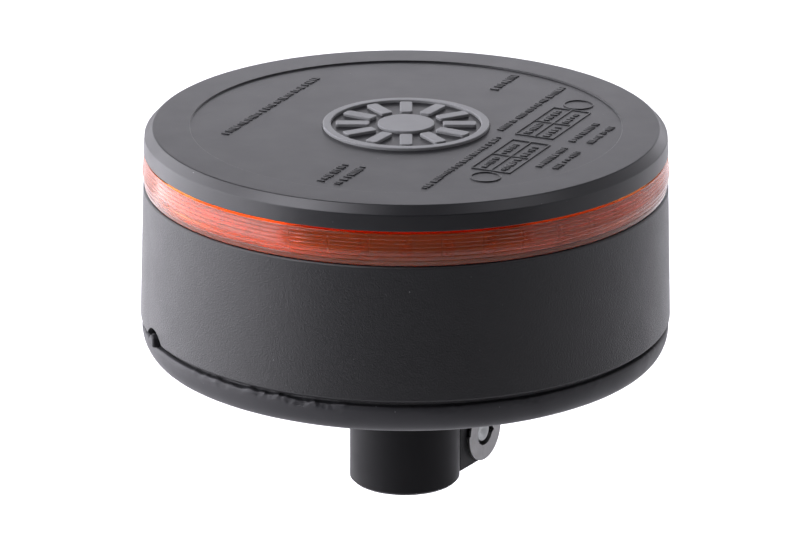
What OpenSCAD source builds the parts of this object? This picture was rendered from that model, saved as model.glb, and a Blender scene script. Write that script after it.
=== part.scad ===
// Low-profile LED warning beacon on a plug-on pole socket.
// Millimetres, +Z up. The origin is the centre of the socket's mouth.

/* [Body] */
// Diameter of the housing at its lower edge
body_d = 160; // [150:1:190]
// Height of the housing wall
housing_h = 41.4; // [40:0.2:70]
// Height of the amber lens band
lens_h = 10.7; // [9.5:0.1:14]
// Height of the cap from its lower edge to the flat rim
cap_h = 7.3; // [6.5:0.1:12]
// How much smaller in radius the housing is at its top than at its lower edge
housing_draft = 1.3; // [0.5:0.1:2]
// Thickness of the housing wall
wall = 3.0; // [2.5:0.1:4]

/* [Rubber foot] */
// Height of the rubber foot's outer rim
skirt_h = 9.1; // [8.6:0.1:12]
// Gap between the rubber foot and the housing's lower edge
skirt_gap = 0.9; // [0.6:0.1:2]

/* [Pole socket] */
// Diameter of the socket's bore, for a 24 mm pole
bore_d = 24.2; // [24.1:0.1:24.6]
// Outer diameter of the socket tube
socket_d = 33.6; // [32:0.2:38]
// Length of the socket tube below the rubber foot
socket_drop = 43.6; // [40:0.2:60]
// Direction in which the clamp ears point, counted from +X
ear_angle = 58; // [0:0.5:360]
// Distance of the clamp screw from the pole's axis
screw_offset = 25; // [23:0.5:28]
// Height of the clamp screw above the socket's mouth
screw_height = 9.4; // [9.2:0.1:14]
// Width of the slit between the ears
slit_w = 3; // [2:0.1:4]

/* [Light source] */
// Number of LEDs round the drum
led_count = 36; // [24:1:48]
// Number of rays on the cap's badge
ray_count = 12; // [8:1:18]

/* [Hidden] */
$fn = 96;
eps = 0.01;          // overlap that joins two solids of one piece
cut = 1;             // how far a cutting shape runs past the face it cuts
play = 0.05;         // radial play between a screw and its hole
run_fit = 0.05;      // radial running clearance of a shaft

// Heights of the visible bands
z_skirt = socket_drop;
z_skirt_top = z_skirt + skirt_h;
z_housing = z_skirt_top + skirt_gap;
z_lens = z_housing + housing_h;
z_cap = z_lens + lens_h;
z_rim = z_cap + cap_h;
rim_recess = 0.45;   // depth of the round recess in the cap's face
z_face = z_rim - rim_recess;

// Radii of the visible bands
r_body = body_d / 2;
r_body_top = r_body - housing_draft;
r_cap = r_body_top - 0.15;
r_skirt = r_body - 0.4;
r_step = r_body * 0.8075;
r_inner = r_body_top - wall + 0.7;   // inside of the housing wall

// Screws: clearance holes, pilot holes and heads
clear_m3 = 1.7;
clear_m4 = 2.2;
clear_m5 = 2.7;
pilot_m3 = 1.25;
pilot_m4 = 1.65;
pilot_m5 = 2.1;
head_m3_r = 2.8;
head_m4_r = 3.6;
head_m4_h = 2.4;
head_m5_r = 4.2;
head_m5_h = 2.4;
drive_m3_r = 1.2;
drive_m4_r = 1.5;
drive_m5_r = 2;

// Floor plate and what stands on it
floor_t = 4;
z_floor = z_housing - 3;
z_floor_top = z_floor + floor_t;
r_floor = r_body - 2;
r_spigot = r_inner - 0.2;
spigot_h = 3;
z_column = z_floor_top + spigot_h;
column_r = 4.6;
r_column = r_spigot - column_r - 0.1;
floor_screw_count = 6;
floor_screw_phase = 30;
floor_sink_r = 4;    // sink for the heads of the floor screws
seal_r = 0.8;
seal_z = z_floor_top + 1.5;
vent_angle = 150;
vent_from_axis = 44;
vent_hole_r = 4.5;
vent_flange_r = 6.5;
vent_duct_r = 3;     // hole through the rubber foot below the vent

// Deck on which lens, heat sink and LEDs sit
z_ledge = z_lens - 6;
ledge_t = 3;
z_deck = z_ledge + ledge_t;
r_deck = r_inner - 2.8;
groove_in = r_inner - 2.4;
groove_out = r_inner - 0.3;
seal_t = 0.6;

// Lens, drum and LEDs
lens_ridge = 0.3;
rib_count = 5;
z_light = (z_lens + z_cap) / 2;
r_drum = r_inner - 8.9;
drum_t = 3.5;
strip_t = 0.6;
led_w = 3.6;
led_h = 1;
led_dome_r = 1.2;
z_drum_top = z_cap - 0.2;
optic_in = r_inner - 5.8;
optic_out = r_inner - 3.4;

// Cap
cap_wall_in = r_inner - 0.8;
cap_plate_t = 2.65;
z_cap_under = z_face - cap_plate_t;
cap_boss_r = 4.2;
r_cap_boss = r_drum - drum_t - cap_boss_r - 3;
cap_screw_count = 6;
badge_r = 25;
badge_base_t = 0.8;
badge_relief = 0.95;
mark_relief = 0.25;
mark_w = 0.5;
mark_angle = 65;     // direction in which the rows of marks run

// Driver board
z_board = z_floor_top + 9.4;
board_t = 1.6;
r_board_out = r_column - column_r - 2.5;
r_board_in = 17;
z_parts = z_board + board_t;
r_standoff = 50;
standoff_r = 3;
standoff_count = 4;
terminal_angle = 185;
terminal_r = 30.5;
terminal_pitch = 8;
terminal_h = 9;

// Socket
bore_r = bore_d / 2;
socket_r = socket_d / 2;
z_flange = z_skirt + 2;
flange_t = 3;
flange_r = 31;
z_socket_top = z_flange + flange_t;   // the pole stops here
chamber_r = 9;       // bore of the contact cup
neck_r = 14;         // part of the cup that passes through the floor plate
neck_hole_r = neck_r + 0.3;
cup_foot_r = 17;     // foot of the cup, held between socket and floor plate
cup_foot_hole_r = cup_foot_r + 0.3;
z_neck_top = z_floor_top + 7.4;
socket_screw_pcd = 46;
socket_screw_count = 4;
socket_boss_r = 4.6;

// Contact
carrier_t = 2;
carrier_flange_t = 2;
z_carrier = z_neck_top - carrier_t;
plunger_tip = z_socket_top + 0.2;
plunger_head_r = 3.2;
plunger_collar_r = 5.2;
plunger_collar_z = plunger_tip + 3.2;
plunger_collar_t = 1;
stem_r = 2.45;
stem_bore_r = stem_r + run_fit;
clip_t = 0.8;
tag_t = 0.8;
live_tag_angle = 160;
earth_angle = 205;
z_carrier_top = z_neck_top + carrier_flange_t;
z_clip = z_carrier_top + tag_t + 0.02;
spring_wire = 0.7;
spring_turns = 3.5;
spring_r = 3.9;

// Clamp
ear_out = 12.5;      // outer face of each ear, from the slit's middle plane
lobe_r = 9.2;
m8_r = 3.95;
nut_thread_r = m8_r + run_fit;
nut_flange_r = 9.2;
nut_flange_t = 1;
nut_barrel_r = 5.2;
nut_barrel_l = 7;
nut_mouth_r = 4.4;
nut_mouth_t = 2.2;
nut_step = 0.6;      // depth of the shallow step in the flange's outline
nib_h = 0.8;         // height of the ear's nib that stops the flange from turning
nib_angle = 158;     // position of step and nib round the screw
nib_sweep = 34;
keyway_angle = -10;
screw_end = 12.9;      // rest position of the screw's tip, along its own axis
feed_gap = 2.2;      // free space between washer and ear with the clamp open
washer_r = 8.4;
washer_t = 1.6;
wing_span = 16;
wing_turn = 60;      // angle of the wings from the ears' direction

// ---------- Shared shapes ----------

// Ring of rectangular section.
module ring(r_in, r_out, z_low, z_high) {
    translate([0, 0, z_low])
        difference() {
            cylinder(r = r_out, h = z_high - z_low);
            translate([0, 0, -cut])
                cylinder(r = r_in, h = z_high - z_low + 2 * cut);
        }
}

// Copies of the children at equal steps round Z, at a radius.
module around(count, radius, phase = 0) {
    for (i = [0 : count - 1])
        rotate([0, 0, phase + i * 360 / count])
            translate([radius, 0, 0])
                children();
}

// Straight cylinder between two heights.
module post(r, z_low, z_high) {
    translate([0, 0, z_low])
        cylinder(r = r, h = z_high - z_low);
}

// Places children in the clamp's frame: X along the ears, Y up, Z along the screw.
module clamp_frame() {
    rotate([0, 0, ear_angle])
        rotate([90, 0, 0])
            children();
}

// Places children on the clamp screw's axis: Z along the screw, 0 in the slit's middle plane.
module on_screw_axis() {
    clamp_frame()
        translate([screw_offset, screw_height, 0])
            children();
}

// Round screw with a recessed head below and its shank pointing up.
module screw_up(head_r, head_h, shank_r, length, drive_r) {
    difference() {
        union() {
            cylinder(r = head_r, h = head_h);
            translate([0, 0, head_h - eps])
                cylinder(r = shank_r, h = length);
            translate([0, 0, head_h + length - 2 * eps])
                cylinder(r1 = shank_r, r2 = shank_r * 0.45, h = shank_r);
        }
        translate([0, 0, -cut])
            cylinder(r = drive_r, h = cut + head_h * 0.6, $fn = 6);
    }
}

// ---------- Cap ----------

// Row of dashes along local X, centred on the origin.
module dash_row(length, dash = 1.2, gap = 1, width = 2.2) {
    count = floor((length + gap) / (dash + gap));
    for (i = [0 : count - 1])
        translate([(i - (count - 1) / 2) * (dash + gap) - dash / 2, -width / 2, 0])
            cube([dash, width, mark_relief + eps]);
}

// Blank frame of two by two cells with its middle at the origin.
module blank_frame(length, width) {
    cell_l = (length - 3 * mark_w) / 2;
    cell_w = (width - 3 * mark_w) / 2;
    difference() {
        translate([-length / 2, -width / 2, 0])
            cube([length, width, mark_relief + eps]);
        for (x = [-length / 2 + mark_w, mark_w / 2], y = [-width / 2 + mark_w, mark_w / 2])
            translate([x, y, -cut])
                cube([cell_l, cell_w, mark_relief + 2 * cut]);
    }
}

// All raised marks: u runs along the rows, v across them.
module cap_marks() {
    rows = [
        // u, v, length, width
        [1, 45, 64, 2.6], [-49.5, 0, 18, 2.6], [-50, -5.5, 18, 2.6],
        [-24.6, -29.8, 54, 2.2], [32, -27.2, 48, 2.2], [52.5, -9, 17, 2.8],
        [-9, -51.6, 20, 2.2], [-9.4, -56.6, 18, 2.2], [17, -50.8, 20, 2.2], [17, -56.2, 18, 2.2]
    ];
    translate([0, 0, z_face - eps])
        rotate([0, 0, mark_angle]) {
            for (r = rows)
                translate([r[0], r[1], 0])
                    dash_row(r[2], width = r[3]);
            translate([-13.6, -40.4, 0])
                blank_frame(30, 12.6);
            translate([21, -38.8, 0])
                blank_frame(29, 12.6);
            for (at = [[-34.4, -41.6], [41, -38.4]])
                translate(at)
                    ring(4.1, 4.6, 0, mark_relief + eps);
        }
}

module cap() {
    color([0.16, 0.16, 0.17])
        difference() {
            union() {
                rotate_extrude()
                    polygon([
                        [0, z_cap_under], [cap_wall_in, z_cap_under], [cap_wall_in, z_cap],
                        [r_cap, z_cap], [r_cap - 0.35, z_cap + 0.66 * cap_h],
                        [r_cap - 2.75, z_rim], [r_step, z_rim], [r_step, z_face], [0, z_face]
                    ]);
                around(cap_screw_count, r_cap_boss)
                    post(cap_boss_r, z_lens + 0.05, z_cap_under + eps);
                cap_marks();
            }
            post(badge_r + 0.1, z_face - badge_base_t, z_face + cut);
            around(cap_screw_count, r_cap_boss)
                post(pilot_m4, z_lens - cut, z_lens + 12);
        }
}

// Badge: flush disc with a raised rim, hub and rays.
module cap_badge() {
    rim_w = badge_r * 0.1;
    ray_in = badge_r * 0.44;
    ray_out = badge_r * 0.84;
    ray_w = badge_r * 0.15;
    color([0.55, 0.56, 0.58]) {
        post(badge_r, z_face - badge_base_t, z_face);
        ring(badge_r - rim_w, badge_r, z_face - eps, z_face + badge_relief);
        post(badge_r * 0.34, z_face - eps, z_face + badge_relief);
        around(ray_count, ray_in)
            translate([0, -ray_w / 2, z_face - eps])
                cube([ray_out - ray_in, ray_w, badge_relief + eps]);
    }
}

module cap_gasket() {
    color([0.1, 0.1, 0.1])
        ring(groove_in + 0.1, cap_wall_in - 0.2, z_cap_under - seal_t, z_cap_under);
}

// ---------- Lens and light source ----------

module lens_ring() {
    spigot_in = groove_in + 0.1;
    spigot_out = groove_out - 0.1;
    z_low = z_lens + 0.3;
    z_high = z_cap - 0.7;
    z_ridge = z_lens + lens_h * 0.45;
    z_spigot_top = z_cap_under - seal_t;
    rib_pitch = (z_high - z_low - 2) / rib_count;
    color([0.95, 0.35, 0.05, 0.6])
        difference() {
            rotate_extrude()
                polygon([
                    [spigot_in, z_deck + seal_t], [spigot_out, z_deck + seal_t],
                    [spigot_out, z_low], [r_body_top - 0.35, z_low],
                    [r_body_top + lens_ridge, z_ridge], [r_cap - 0.25, z_high],
                    [cap_wall_in - 0.15, z_high], [cap_wall_in - 0.15, z_spigot_top],
                    [spigot_in, z_spigot_top]
                ]);
            // Inner face stepped back into shallow prisms.
            for (i = [0 : rib_count - 1])
                translate([0, 0, z_low + 1 + i * rib_pitch])
                    rotate_extrude()
                        polygon([
                            [spigot_in - cut, 0.1], [spigot_in + 1.6, 0.1],
                            [spigot_in + 0.5, rib_pitch - 0.1], [spigot_in - cut, rib_pitch - 0.1]
                        ]);
        }
}

module lens_gasket() {
    color([0.1, 0.1, 0.1])
        ring(groove_in + 0.1, groove_out - 0.1, z_deck, z_deck + seal_t);
}

// Clear ring, flat inside and curved outside.
module optic_ring() {
    z_low = z_lens + 0.05;
    z_high = z_drum_top;
    color([0.85, 0.9, 0.95, 0.5])
        rotate_extrude()
            polygon(concat(
                [[optic_in, z_high], [optic_in, z_low]],
                [for (i = [0 : 8])
                    let (t = i / 8)
                    [optic_out - 1.2 + 1.2 * sin(180 * t), z_low + (z_high - z_low) * t]]
            ));
}

module led_strip() {
    color([0.9, 0.9, 0.86])
        ring(r_drum + 0.02, r_drum + strip_t, z_lens + 0.8, z_drum_top - 0.3);
}

module leds() {
    color([0.95, 0.8, 0.3])
        around(led_count, r_drum + strip_t + 0.02) {
            translate([0, -led_w / 2, z_light - led_w / 2])
                cube([led_h, led_w, led_w]);
            translate([led_h + 0.3, 0, z_light])
                sphere(r = led_dome_r);
        }
}

module heat_sink() {
    fin_t = 2;
    fin_pitch = 8;
    fin_h = 11;
    fin_r = 50;
    color([0.75, 0.76, 0.78])
        difference() {
            union() {
                post(r_deck, z_deck, z_lens);
                ring(r_drum - drum_t, r_drum, z_lens - eps, z_drum_top);
                intersection() {
                    post(fin_r, z_deck - fin_h, z_deck + eps);
                    union()
                        for (i = [-5 : 5])
                            translate([i * fin_pitch - fin_t / 2, -fin_r, z_deck - fin_h])
                                cube([fin_t, 2 * fin_r, fin_h + eps]);
                }
            }
            around(cap_screw_count, r_cap_boss)
                post(clear_m4, z_deck - cut, z_lens + cut);
            lead_path(0.4);
        }
}

module cap_screws() {
    color([0.7, 0.7, 0.72])
        around(cap_screw_count, r_cap_boss)
            translate([0, 0, z_deck - head_m4_h])
                screw_up(head_m4_r, head_m4_h, pilot_m4 - play, 12, drive_m4_r);
}

// Route of the two wires that feed the strip, drawn with extra radius for clearance.
module lead_path(extra = 0) {
    wire_r = 0.9;
    lead_r = r_drum - drum_t - 1.8;
    z_turn = z_lens + 2.6;
    for (side = [-1, 1])
        rotate([0, 0, 15 + side * 2]) {
            translate([lead_r, 0, 0])
                post(wire_r + extra, z_parts, z_turn);
            translate([lead_r, 0, z_turn])
                sphere(r = wire_r + extra);
            translate([lead_r, 0, z_turn])
                rotate([0, 90, 0])
                    cylinder(r = wire_r + extra, h = r_drum - lead_r);
        }
}

module led_leads() {
    color([0.7, 0.1, 0.1])
        lead_path();
}

// ---------- Housing ----------

// Bow-shaped notches in the housing's lower edge, entered by nubs of the rubber foot.
notch_angles = [20.5, 200.5];
notch_r = 8.1;
notch_drop = 4.1;    // depth of the notch's centre below the housing's edge
nub_r = 1.9;
nub_rise = 0.4;
nub_out = 0.9;       // reach of a nub past the housing wall

// Arch that stands on the origin and reaches outwards along X.
module arch(r, rise, below, depth) {
    translate([0, -r, -below])
        cube([depth, 2 * r, rise + below]);
    translate([0, 0, rise])
        rotate([0, 90, 0])
            cylinder(r = r, h = depth, $fn = 48);
}

module housing() {
    bevel = 0.9;
    color([0.15, 0.15, 0.16])
        difference() {
            union() {
                rotate_extrude()
                    polygon([
                        [r_inner, z_housing], [r_body - bevel, z_housing],
                        [r_body, z_housing + bevel], [r_body_top + 0.05, z_lens - 0.4],
                        [r_body_top - 0.4, z_lens], [groove_out, z_lens],
                        [groove_out, z_deck], [groove_in - 4, z_deck],
                        [groove_in - 4, z_ledge], [r_inner, z_ledge - 3]
                    ]);
                around(floor_screw_count, r_column, floor_screw_phase)
                    post(column_r, z_column, z_ledge + 1);
            }
            around(floor_screw_count, r_column, floor_screw_phase)
                post(pilot_m4, z_column - cut, z_column + 14);
            for (a = notch_angles)
                rotate([0, 0, a])
                    translate([r_floor - 1, 0, z_housing - notch_drop])
                        rotate([0, 90, 0])
                            cylinder(r = notch_r, h = r_body - r_floor + 1 + cut, $fn = 96);
        }
}

// ---------- Driver board ----------

module driver_board() {
    color([0.05, 0.35, 0.15])
        difference() {
            ring(r_board_in, r_board_out, z_board, z_parts);
            around(standoff_count, r_standoff, 45)
                post(clear_m3, z_board - cut, z_parts + cut);
        }
}

module capacitors() {
    color([0.12, 0.14, 0.2])
        for (a = [100, 122, 144])
            rotate([0, 0, a])
                translate([36, 0, 0]) {
                    post(5, z_parts, z_parts + 12);
                    post(4.3, z_parts + 12 - eps, z_parts + 12.3);
                }
}

module inductor() {
    color([0.6, 0.3, 0.1])
        rotate([0, 0, 20])
            translate([34, 0, z_parts + 4])
                rotate_extrude()
                    translate([6.5, 0])
                        circle(r = 4, $fn = 48);
}

module driver_chips() {
    color([0.08, 0.08, 0.09])
        for (place = [[250, 30, 10], [285, 34, 7], [320, 33, 7], [265, 47, 6], [300, 48, 6]])
            rotate([0, 0, place[0]])
                translate([place[1] - place[2] / 2, -place[2] / 2, z_parts])
                    cube([place[2], place[2], 1.8]);
}

module terminal_block() {
    color([0.1, 0.5, 0.25])
        rotate([0, 0, terminal_angle])
            translate([terminal_r, 0, z_parts])
                difference() {
                    translate([-5.5, -terminal_pitch, 0])
                        cube([9, 2 * terminal_pitch, terminal_h]);
                    for (side = [-0.5, 0.5])
                        translate([0, side * terminal_pitch, terminal_h - 4])
                            cylinder(r = 2, h = 4 + cut);
                }
}

module board_screws() {
    color([0.7, 0.7, 0.72])
        around(standoff_count, r_standoff, 45)
            translate([0, 0, z_parts + 2])
                rotate([180, 0, 0])
                    screw_up(head_m3_r, 2, pilot_m3 - play, 7, drive_m3_r);
}

// ---------- Floor plate ----------

module floor_plate() {
    boss_z = z_floor_top + 7;
    color([0.2, 0.2, 0.21])
        difference() {
            union() {
                post(r_floor, z_floor, z_housing);
                post(r_spigot, z_housing - eps, z_floor_top);
                ring(r_spigot - 3.2, r_spigot, z_floor_top - eps, z_column);
                around(floor_screw_count, r_column, floor_screw_phase)
                    post(column_r, z_floor_top - eps, z_column);
                around(socket_screw_count, socket_screw_pcd / 2, 45)
                    post(socket_boss_r, z_floor_top - eps, boss_z);
                around(standoff_count, r_standoff, 45)
                    post(standoff_r, z_floor_top - eps, z_board);
            }
            post(neck_hole_r, z_floor - cut, z_board);
            around(floor_screw_count, r_column, floor_screw_phase) {
                post(clear_m4, z_floor - cut, z_column + cut);
                post(floor_sink_r, z_floor - cut, z_floor + 2);
            }
            around(socket_screw_count, socket_screw_pcd / 2, 45)
                post(pilot_m5, z_floor - cut, boss_z - 1.5);
            around(standoff_count, r_standoff, 45)
                post(pilot_m3, z_board - 8, z_board + cut);
            at_vent()
                post(vent_hole_r, z_floor - cut, z_floor_top + cut);
            // Groove for the O-ring.
            ring(r_spigot - 1.5, r_spigot + cut, seal_z - seal_r, seal_z + seal_r);
        }
}

module floor_seal() {
    color([0.1, 0.1, 0.1])
        translate([0, 0, seal_z])
            rotate_extrude()
                translate([r_inner - 0.05 - seal_r, 0])
                    circle(r = seal_r - 0.02, $fn = 48);
}

module floor_screws() {
    color([0.7, 0.7, 0.72])
        around(floor_screw_count, r_column, floor_screw_phase)
            translate([0, 0, z_floor + 0.2])
                screw_up(head_m4_r, 1.8, pilot_m4 - play, 16, drive_m4_r);
}

module at_vent() {
    rotate([0, 0, vent_angle])
        translate([vent_from_axis, 0, 0])
            children();
}

module vent_plug() {
    color([0.6, 0.6, 0.6])
        at_vent() {
            post(vent_hole_r - 0.1, z_floor, z_floor_top + eps);
            post(vent_flange_r, z_floor_top, z_floor_top + 2);
        }
}

// ---------- Rubber foot ----------

module base_skirt() {
    corner_r = 5.4;
    corner_h = 7.6;
    lip = 0.8;
    web_in = flange_r + 6;
    web_out = r_skirt - 12;
    web_depth = 4.4;
    rib_w = 2.5;
    color([0.11, 0.11, 0.12])
        difference() {
            union() {
                rotate_extrude()
                    polygon(concat(
                        [[flange_r + 0.3, z_floor], [flange_r + 0.3, z_skirt]],
                        [for (i = [0 : 10])
                            let (a = i * 9)
                            [r_skirt - corner_r * (1 - sin(a)), z_skirt + corner_h * (1 - cos(a))]],
                        [[r_skirt - lip, z_skirt_top], [r_floor + 0.15, z_skirt_top],
                         [r_floor + 0.15, z_floor]]
                    ));
                for (a = notch_angles)
                    rotate([0, 0, a])
                        nub();
            }
            // Lightening ring, crossed by ribs.
            difference() {
                ring(web_in, web_out, z_skirt - cut, z_skirt + web_depth);
                around(12, (web_in + web_out) / 2)
                    translate([-web_out / 2, -rib_w / 2, z_skirt - 2 * cut])
                        cube([web_out, rib_w, web_depth + 3 * cut]);
            }
            at_vent()
                post(vent_duct_r, z_skirt - cut, z_floor + cut);
        }
}

// Locating nub that stands up from the rubber lip into a notch of the housing.
module nub() {
    translate([r_floor + 0.15, 0, z_housing])
        arch(nub_r, nub_rise, skirt_gap + 0.5, r_body + nub_out - r_floor - 0.15);
}

// ---------- Socket and clamp ----------

// Side outline of the ears: a lobe round the screw, carried back to the tube.
module ear_outline() {
    translate([screw_offset, screw_height])
        circle(r = lobe_r);
    translate([bore_r, screw_height - lobe_r])
        square([screw_offset - bore_r, 2 * lobe_r]);
}

module socket() {
    slit_top = screw_height + lobe_r + 10;
    color([0.1, 0.1, 0.11])
        difference() {
            union() {
                rotate_extrude()
                    polygon([
                        [0, 0], [socket_r - 0.8, 0], [socket_r, 0.8], [socket_r, z_flange],
                        [flange_r, z_flange], [flange_r, z_socket_top], [0, z_socket_top]
                    ]);
                clamp_frame()
                    translate([0, 0, -ear_out])
                        linear_extrude(height = 2 * ear_out)
                            ear_outline();
                // Nib in the step of the nut's flange.
                on_screw_axis()
                    intersection() {
                        post(lobe_r, ear_out - eps, ear_out + nib_h);
                        step_sector(nut_flange_r - nut_step + 0.05, nib_sweep - 4);
                    }
            }
            post(bore_r, -cut, z_socket_top + cut);
            // Slit between the ears, ending in a round relief.
            clamp_frame() {
                translate([bore_r / 2, -cut, -slit_w / 2])
                    cube([screw_offset + lobe_r, slit_top + cut, slit_w]);
                translate([bore_r / 2, slit_top, 0])
                    rotate([0, 90, 0])
                        cylinder(r = slit_w / 2, h = socket_r);
            }
            // Screw hole in the far ear and nut seat in the near ear.
            on_screw_axis() {
                post(m8_r + 0.45, -ear_out - cut, 0);
                post(nut_barrel_r + 0.05, 0, ear_out + cut);
            }
            earth_groove();
            around(socket_screw_count, socket_screw_pcd / 2, 45)
                post(clear_m5, z_flange - cut, z_socket_top + cut);
        }
}

// Groove for the earth contact, up through socket and cup.
module earth_groove() {
    rotate([0, 0, earth_angle])
        translate([bore_r - 1, -3.1, 18])
            cube([2.2, 6.2, z_neck_top]);
}

// Rubber ring that seals the socket's flange against the floor plate.
module socket_gasket() {
    color([0.1, 0.1, 0.1])
        difference() {
            ring(cup_foot_hole_r, flange_r, z_socket_top, z_floor);
            around(socket_screw_count, socket_screw_pcd / 2, 45)
                post(clear_m5, z_socket_top - cut, z_floor + cut);
        }
}

module socket_screws() {
    color([0.7, 0.7, 0.72])
        around(socket_screw_count, socket_screw_pcd / 2, 45)
            translate([0, 0, z_flange - head_m5_h])
                screw_up(head_m5_r, head_m5_h, pilot_m5 - play, 12, drive_m5_r);
}

// Sector of a ring outside the given radius, round the screw.
module step_sector(r_in, sweep) {
    rotate([0, 0, nib_angle - sweep / 2])
        rotate_extrude(angle = sweep)
            translate([r_in, 0])
                square([4, ear_out + 4]);
}

// Nut pressed into the near ear: flange with a stepped outline and a keyway in its mouth.
module clamp_nut() {
    key_size = 1.5;
    color([0.72, 0.72, 0.7])
        on_screw_axis()
            difference() {
                union() {
                    post(nut_flange_r, ear_out, ear_out + nut_flange_t);
                    post(nut_barrel_r, ear_out - nut_barrel_l, ear_out + eps);
                }
                post(nut_thread_r, 0, ear_out + 2 * cut);
                post(nut_mouth_r, ear_out + nut_flange_t - nut_mouth_t, ear_out + 2 * cut);
                step_sector(nut_flange_r - nut_step, nib_sweep);
                rotate([0, 0, keyway_angle])
                    translate([nut_mouth_r - 0.1, 0, ear_out])
                        rotate([0, 0, 45])
                            translate([-key_size / 2, -key_size / 2, -cut])
                                cube([key_size, key_size, 2 * cut + nut_flange_t]);
            }
}

module clamp_washer() {
    washer_face = -ear_out - feed_gap;
    color([0.72, 0.72, 0.7])
        on_screw_axis()
            ring(m8_r + run_fit, washer_r, washer_face - washer_t, washer_face);
}

// Wing screw: M8 shank, hub and two wings, tip with a small dimple.
module wing_screw() {
    head_face = -ear_out - feed_gap - washer_t - 0.02;
    hub_h = 9;
    hub_r = 6.8;
    chamfer = 0.8;
    dimple = 0.9;
    color([0.72, 0.72, 0.7])
        on_screw_axis()
            difference() {
                union() {
                    post(m8_r, head_face - eps, screw_end - chamfer);
                    translate([0, 0, screw_end - chamfer - eps])
                        cylinder(r1 = m8_r, r2 = m8_r - chamfer, h = chamfer + eps);
                    post(hub_r, head_face - hub_h, head_face);
                    for (side = [0, 180])
                        rotate([0, 0, side + wing_turn])
                            wing(head_face - hub_h);
                }
                translate([0, 0, screw_end - dimple])
                    cylinder(r1 = 0.2, r2 = 1.5, h = dimple + eps);
            }
}

// One wing, from the hub outwards and back.
module wing(z_back) {
    wing_t = 2.6;
    translate([0, wing_t / 2, 0])
        rotate([90, 0, 0])
            linear_extrude(height = wing_t)
                union() {
                    translate([wing_span - 5, z_back - 1])
                        circle(r = 5);
                    polygon([
                        [4, z_back + 7.5], [wing_span - 1.5, z_back + 2.5],
                        [wing_span - 5, z_back - 6], [4, z_back + 1]
                    ]);
                }
}

// ---------- Contacts ----------

// Insulating cup that holds the centre contact above the pole.
module contact_cup() {
    color([0.12, 0.12, 0.13])
        difference() {
            union() {
                post(cup_foot_r, z_socket_top, z_floor);
                post(neck_r, z_socket_top, z_neck_top);
            }
            post(chamber_r, z_socket_top - cut, z_neck_top + cut);
            earth_groove();
        }
}

module contact_carrier() {
    color([0.85, 0.8, 0.65])
        difference() {
            union() {
                post(chamber_r - 0.05, z_carrier, z_neck_top + eps);
                post(neck_r - 0.5, z_neck_top, z_carrier_top);
            }
            post(stem_bore_r, z_carrier - cut, z_carrier_top + cut);
            rotate([0, 0, earth_angle])
                translate([chamber_r - 1.2, -3.1, z_carrier - cut])
                    cube([neck_r, 6.2, 8]);
        }
}

module contact_plunger() {
    color([0.8, 0.65, 0.3])
        union() {
            post(plunger_head_r, plunger_tip + 0.8, plunger_collar_z + eps);
            translate([0, 0, plunger_tip])
                cylinder(r1 = plunger_head_r - 0.8, r2 = plunger_head_r, h = 0.8 + eps);
            post(plunger_collar_r, plunger_collar_z, plunger_collar_z + plunger_collar_t);
            post(stem_r, plunger_collar_z, z_clip + clip_t + 1.2);
        }
}

module plunger_clip() {
    color([0.6, 0.6, 0.62])
        ring(stem_r, 4.2, z_clip, z_clip + clip_t);
}

// Points of one ring of the spring's wire, at a fraction of its height.
spring_low = plunger_collar_z + plunger_collar_t + spring_wire / 2;
spring_high = z_carrier - spring_wire / 2;
wire_sides = 8;
ring_steps = 16 * spring_turns;
function spring_ring(i) =
    let (
        t = i / ring_steps,
        turn = 360 * spring_turns * t,
        z = spring_low + (spring_high - spring_low) * t
    )
    [for (k = [0 : wire_sides - 1])
        let (
            a = 360 * k / wire_sides,
            r = spring_r + spring_wire / 2 * cos(a)
        )
        [r * cos(turn), r * sin(turn), z + spring_wire / 2 * sin(a)]];

module contact_spring() {
    points = [for (i = [0 : ring_steps]) each spring_ring(i)];
    sides = [for (i = [0 : ring_steps - 1]) for (k = [0 : wire_sides - 1])
        let (
            n = (k + 1) % wire_sides,
            low = i * wire_sides,
            high = low + wire_sides
        )
        [low + k, high + k, high + n, low + n]];
    first = [for (k = [0 : wire_sides - 1]) k];
    last = [for (k = [wire_sides - 1 : -1 : 0]) ring_steps * wire_sides + k];
    color([0.6, 0.6, 0.62])
        polyhedron(points = points, faces = concat(sides, [first, last]));
}

module live_tag() {
    color([0.8, 0.65, 0.3])
        difference() {
            union() {
                post(5, z_carrier_top, z_carrier_top + tag_t);
                rotate([0, 0, live_tag_angle])
                    translate([0, -2, z_carrier_top])
                        cube([12, 4, tag_t]);
            }
            post(stem_bore_r, z_carrier_top - cut, z_carrier_top + tag_t + cut);
        }
}

// Earth contact: a strip along the socket wall with its top bent over the carrier.
module earth_strip() {
    strip = 0.6;
    r_strip = bore_r + 0.4;
    color([0.8, 0.65, 0.3])
        rotate([0, 0, earth_angle])
            translate([r_strip, -2.8, 19]) {
                cube([strip, 5.6, z_carrier_top - 19 + 1]);
                translate([-2.5, 0, z_carrier_top - 19 + 0.4])
                    cube([2.6, 5.6, strip]);
            }
}

// Wire that goes up, bends over along +X and comes down again.
module arch_wire(span, z_start, z_top, z_end, bend, r) {
    post(r, z_start, z_top - bend);
    for (side = [0, 1])
        translate([side == 0 ? bend : span - bend, 0, z_top - bend])
            rotate([90, 0, 0])
                rotate([0, 0, 90 - 90 * side])
                    rotate_extrude(angle = 90)
                        translate([bend, 0])
                            circle(r = r);
    translate([bend, 0, z_top])
        rotate([0, 90, 0])
            cylinder(r = r, h = span - 2 * bend);
    translate([span, 0, 0])
        post(r, z_end, z_top - bend);
}

function polar(angle, radius, z) = [radius * cos(angle), radius * sin(angle), z];

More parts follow.
